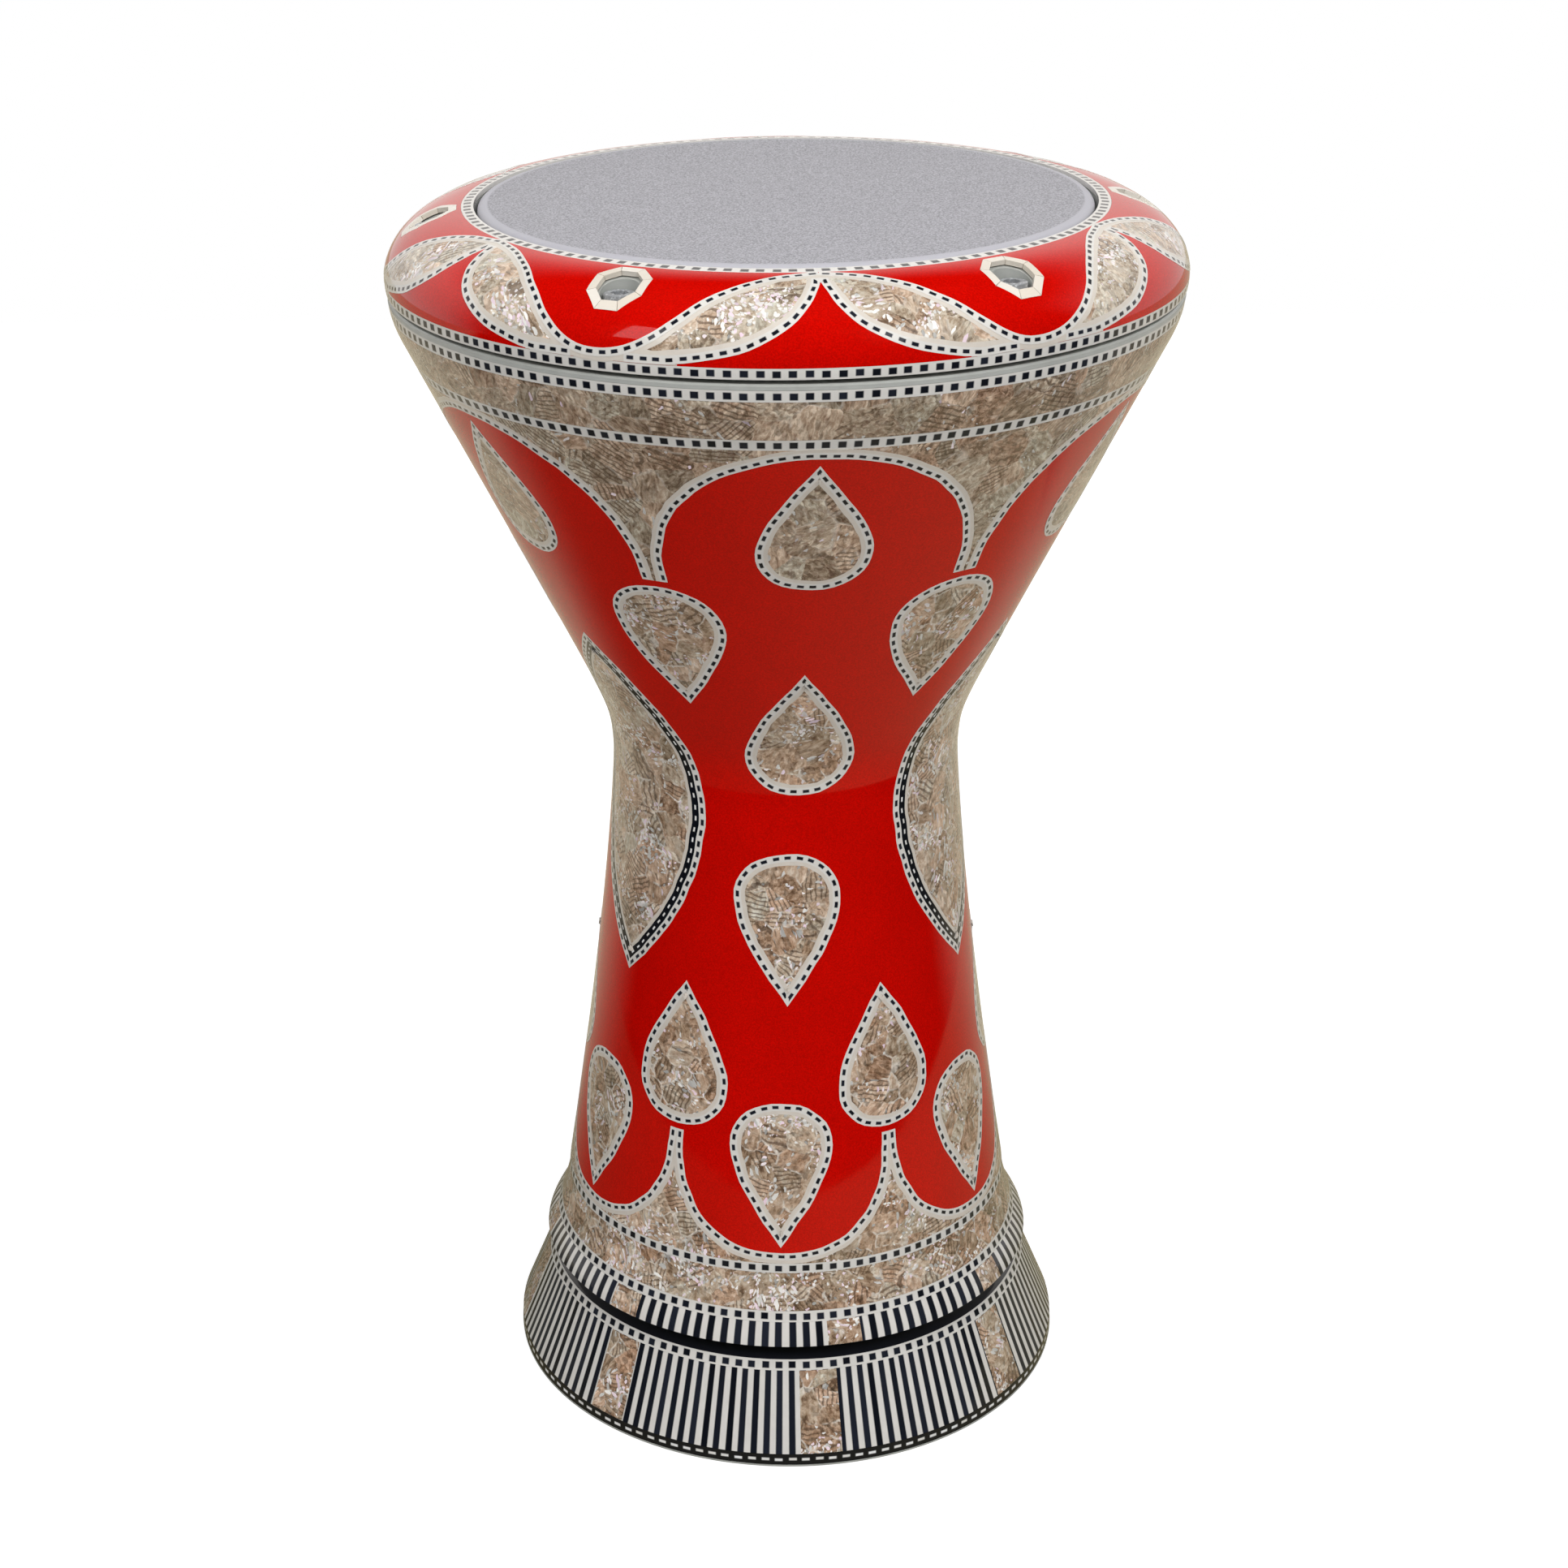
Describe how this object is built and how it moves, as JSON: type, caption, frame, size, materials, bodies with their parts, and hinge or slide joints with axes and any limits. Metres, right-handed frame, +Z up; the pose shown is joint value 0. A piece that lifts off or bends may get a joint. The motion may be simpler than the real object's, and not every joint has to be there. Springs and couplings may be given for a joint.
{
  "type": "goblet drum",
  "caption": "Goblet-shaped hand drum with a screw-tensioned head, a rounded tuning ring and a skin of red resin and pearl inlay.",
  "frame": {"origin": "centre of the foot's flat edge, on the floor plane", "axes": "+Z up along the drum's axis, -Y to the side that faces the camera in the picture, +X to its right"},
  "size_m": [0.2732, 0.2732, 0.445],
  "materials": {
    "cast_aluminium": "as cast, brushed at the edges",
    "blackened_steel": "blackened socket screws, worn bright",
    "red_resin": "deep gloss under clear lacquer",
    "mother_of_pearl": "cracked pearl pieces under clear lacquer",
    "ivory_resin": "ivory and black pieces under clear lacquer",
    "black_resin": "gloss under clear lacquer",
    "polyester_film": "grey film with a fine satin grain"
  },
  "bodies": {
    "shell": {"shell_casting": "cast_aluminium", "upper_border_band": "ivory_resin", "upper_pearl_band": "mother_of_pearl", "arch_border_band": "ivory_resin", "lower_border_band": "ivory_resin", "lower_pearl_band": "mother_of_pearl", "lip_border_band": "ivory_resin", "lip_stripe_band": "ivory_resin", "foot_border_band": "ivory_resin", "foot_stripe_band": "ivory_resin", "foot_rim_band": "black_resin", "resin_ground": "red_resin", "groove_band": "black_resin", "arch_drop_1": "mother_of_pearl", "arch_drop_2": "mother_of_pearl", "arch_drop_3": "mother_of_pearl", "arch_drop_4": "mother_of_pearl", "arch_drop_5": "mother_of_pearl", "arch_drop_6": "mother_of_pearl", "pearl_spandrel_1": "mother_of_pearl", "pearl_spandrel_2": "mother_of_pearl", "pearl_spandrel_3": "mother_of_pearl", "pearl_spandrel_4": "mother_of_pearl", "pearl_spandrel_5": "mother_of_pearl", "pearl_spandrel_6": "mother_of_pearl", "neck_leaf_1": "mother_of_pearl", "neck_leaf_2": "mother_of_pearl", "neck_leaf_3": "mother_of_pearl", "drumhead_film": "polyester_film"},
    "ring": {"tuning_ring": "cast_aluminium", "ring_inner_border": "ivory_resin", "ring_resin_ground": "red_resin", "ring_lower_border": "ivory_resin", "flesh_hoop": "cast_aluminium", "window_frame_1": "ivory_resin", "window_frame_2": "ivory_resin", "window_frame_3": "ivory_resin", "window_frame_4": "ivory_resin", "window_frame_5": "ivory_resin", "window_frame_6": "ivory_resin", "ring_petal_left_1": "mother_of_pearl", "ring_petal_left_2": "mother_of_pearl", "ring_petal_left_3": "mother_of_pearl", "ring_petal_left_4": "mother_of_pearl", "ring_petal_left_5": "mother_of_pearl", "ring_petal_left_6": "mother_of_pearl", "ring_petal_right_1": "mother_of_pearl", "ring_petal_right_2": "mother_of_pearl", "ring_petal_right_3": "mother_of_pearl", "ring_petal_right_4": "mother_of_pearl", "ring_petal_right_5": "mother_of_pearl", "ring_petal_right_6": "mother_of_pearl"},
    "bolt_1": {"tuning_bolt_1": "blackened_steel"},
    "bolt_2": {"tuning_bolt_2": "blackened_steel"},
    "bolt_3": {"tuning_bolt_3": "blackened_steel"},
    "bolt_4": {"tuning_bolt_4": "blackened_steel"},
    "bolt_5": {"tuning_bolt_5": "blackened_steel"},
    "bolt_6": {"tuning_bolt_6": "blackened_steel"}
  },
  "joints": [
    {"name": "ring_slide", "type": "slide", "parent": "shell", "child": "ring", "axis": [0, 0, 1], "range_m": [-0.001, 0.002]},
    {"name": "bolt_1_turn", "type": "hinge", "parent": "ring", "child": "bolt_1", "pos_m": [-0.0504, -0.10957, 0.4326], "axis": [0, 0, 1], "range_deg": [-361, 721]},
    {"name": "bolt_2_turn", "type": "hinge", "parent": "ring", "child": "bolt_2", "pos_m": [0.06969, -0.09843, 0.4326], "axis": [0, 0, 1], "range_deg": [-361, 721]},
    {"name": "bolt_3_turn", "type": "hinge", "parent": "ring", "child": "bolt_3", "pos_m": [0.12008, 0.01114, 0.4326], "axis": [0, 0, 1], "range_deg": [-361, 721]},
    {"name": "bolt_4_turn", "type": "hinge", "parent": "ring", "child": "bolt_4", "pos_m": [0.0504, 0.10957, 0.4326], "axis": [0, 0, 1], "range_deg": [-361, 721]},
    {"name": "bolt_5_turn", "type": "hinge", "parent": "ring", "child": "bolt_5", "pos_m": [-0.06969, 0.09843, 0.4326], "axis": [0, 0, 1], "range_deg": [-361, 721]},
    {"name": "bolt_6_turn", "type": "hinge", "parent": "ring", "child": "bolt_6", "pos_m": [-0.12008, -0.01114, 0.4326], "axis": [0, 0, 1], "range_deg": [-361, 721]}
  ],
  "couplings": [
    {"joint": "bolt_1_turn", "follows": "ring_slide", "rad_per_m": 6283.2},
    {"joint": "bolt_2_turn", "follows": "ring_slide", "rad_per_m": 6283.2},
    {"joint": "bolt_3_turn", "follows": "ring_slide", "rad_per_m": 6283.2},
    {"joint": "bolt_4_turn", "follows": "ring_slide", "rad_per_m": 6283.2},
    {"joint": "bolt_5_turn", "follows": "ring_slide", "rad_per_m": 6283.2},
    {"joint": "bolt_6_turn", "follows": "ring_slide", "rad_per_m": 6283.2}
  ]
}
